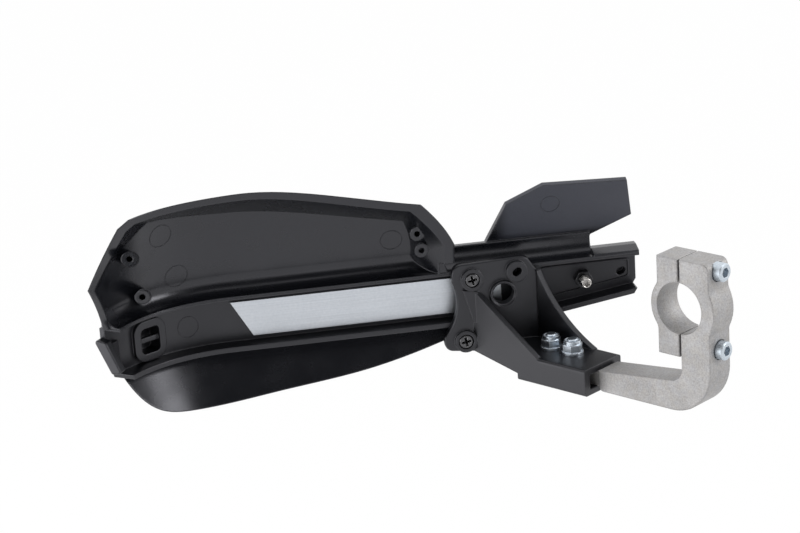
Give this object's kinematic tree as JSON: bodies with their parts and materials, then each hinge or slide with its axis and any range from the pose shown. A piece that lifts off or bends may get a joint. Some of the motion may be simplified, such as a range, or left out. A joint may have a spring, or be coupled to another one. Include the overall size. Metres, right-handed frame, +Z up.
{
  "type": "motorcycle hand guard",
  "caption": "Hand guard for a motorcycle: upper shield with a small wing, lower lobe, channel spine with a metal strip, bracket, and a bent arm that clamps round the handlebar.",
  "frame": {"origin": "centre of the handlebar bore in the clamp, midway through its width", "axes": "+X along the guard towards the middle of the bike, +Y forwards away from the rider, +Z up"},
  "size_m": [0.3289, 0.1383, 0.1254],
  "materials": {
    "black_moulding": "satin moulded",
    "tumbled_aluminium": "tumbled, bare",
    "strip_aluminium": "rolled, bare",
    "zinc_plated_steel": "bright zinc plate",
    "stud_steel": "dark zinc plate",
    "nylon_ring": "satin"
  },
  "bodies": {
    "root": {"clamp_arm": "tumbled_aluminium", "clamp_cap": "tumbled_aluminium", "clamp_screw_upper": "zinc_plated_steel", "clamp_screw_lower": "zinc_plated_steel", "mount_bracket": "black_moulding", "arm_bolt_inner": "zinc_plated_steel", "arm_nut_inner": "zinc_plated_steel", "nut_ring_inner": "nylon_ring", "arm_bolt_outer": "zinc_plated_steel", "arm_nut_outer": "zinc_plated_steel", "nut_ring_outer": "nylon_ring", "spine": "black_moulding", "reinforcing_strip": "strip_aluminium", "spine_stud": "stud_steel", "stud_nut": "stud_steel", "end_clip": "black_moulding", "bracket_screw_upper": "stud_steel", "bracket_screw_lower": "stud_steel", "lower_shield": "black_moulding", "upper_shield": "black_moulding"}
  },
  "joints": []
}
